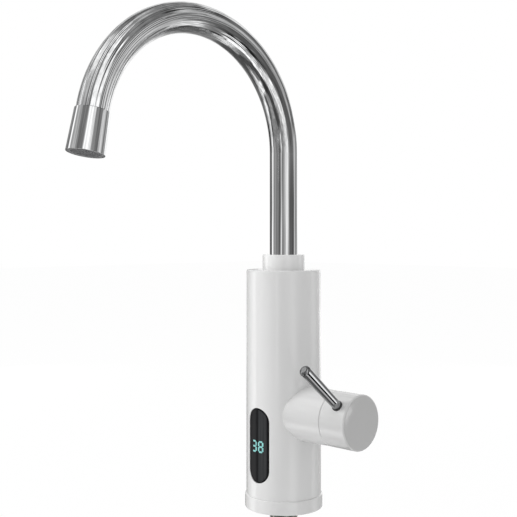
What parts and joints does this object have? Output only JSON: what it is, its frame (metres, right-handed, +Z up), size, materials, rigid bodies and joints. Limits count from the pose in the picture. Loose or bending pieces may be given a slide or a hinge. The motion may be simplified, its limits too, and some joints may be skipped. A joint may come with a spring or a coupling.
{
  "type": "electric instant water heater tap",
  "caption": "White cylindrical worktop tap with built-in heater, oval temperature window, side lever handle and swivelling chrome gooseneck spout.",
  "frame": {"origin": "centre of the base ring's underside, in the plane of the worktop that the tap stands on; the threaded shank hangs below it through the worktop", "axes": "+Z up along the body and the spout's riser; -Y towards the front, where the display window faces and the spout points at rest; +X towards the handle"},
  "size_m": [0.1037, 0.2208, 0.4137],
  "materials": {
    "white_plastic": "smooth gloss white",
    "chrome": "polished chrome plate",
    "black_surround": "gloss black",
    "smoked_lens": "dark smoked gloss lens",
    "lit_digits": "teal light",
    "soft_rubber": "matt black rubber",
    "grey_rubber": "matt light grey rubber",
    "hose": "translucent pale silicone",
    "brass": "turned brass",
    "plated_brass": "nickel plated brass",
    "steel": "stainless steel",
    "carrier_plastic": "moulded pale nylon",
    "aerator_plastic": "grey moulded plastic",
    "black_plastic": "black moulded plastic",
    "ceramic": "polished white ceramic",
    "board": "green circuit board"
  },
  "bodies": {
    "tap_body": {"base_ring": "white_plastic", "base_gasket": "soft_rubber", "base_screws": "steel", "threaded_shank": "plated_brass", "rubber_washer": "soft_rubber", "steel_washer": "steel", "lock_nut": "plated_brass", "body_shell": "white_plastic", "inner_carrier": "carrier_plastic", "inlet_hose": "hose", "flow_switch_body": "carrier_plastic", "reed_switch": "black_plastic", "valve_body": "brass", "cartridge": "carrier_plastic", "fixed_disc": "ceramic", "bonnet_nut": "brass", "feed_hose": "hose", "heater_tank": "steel", "heating_element": "steel", "temperature_probe": "brass", "thermal_cutout": "black_plastic", "outlet_hose": "hose", "display_board": "board", "digit_module": "black_plastic", "power_board": "board", "triac": "black_plastic", "relay": "black_plastic", "display_frame": "black_surround", "display_lens": "smoked_lens", "display_digits": "lit_digits", "cable_gland": "grey_rubber", "outlet_socket": "brass", "top_collar": "white_plastic"},
    "spout": {"spout_stem": "brass", "spout_rings": "soft_rubber", "spout_tube": "chrome", "nozzle": "chrome", "aerator_gasket": "soft_rubber", "aerator": "aerator_plastic"},
    "handle": {"moving_disc": "ceramic", "valve_spindle": "brass", "handle_cap": "white_plastic", "lever": "chrome", "lever_seal": "black_plastic", "grub_screw": "steel"},
    "piston": {"flow_piston": "black_plastic"}
  },
  "joints": [
    {"name": "spout_swivel", "type": "hinge", "parent": "tap_body", "child": "spout", "pos_m": [0, 0, 0.178], "axis": [0, 0, 1], "continuous": true},
    {"name": "handle_turn", "type": "hinge", "parent": "tap_body", "child": "handle", "pos_m": [0.052, 0, 0.07195], "axis": [1, 0, 0], "range_deg": [-110.2, 9.8]},
    {"name": "piston_lift", "type": "slide", "parent": "tap_body", "child": "piston", "axis": [0, 0, 1], "range_m": [0, 0.005]}
  ]
}
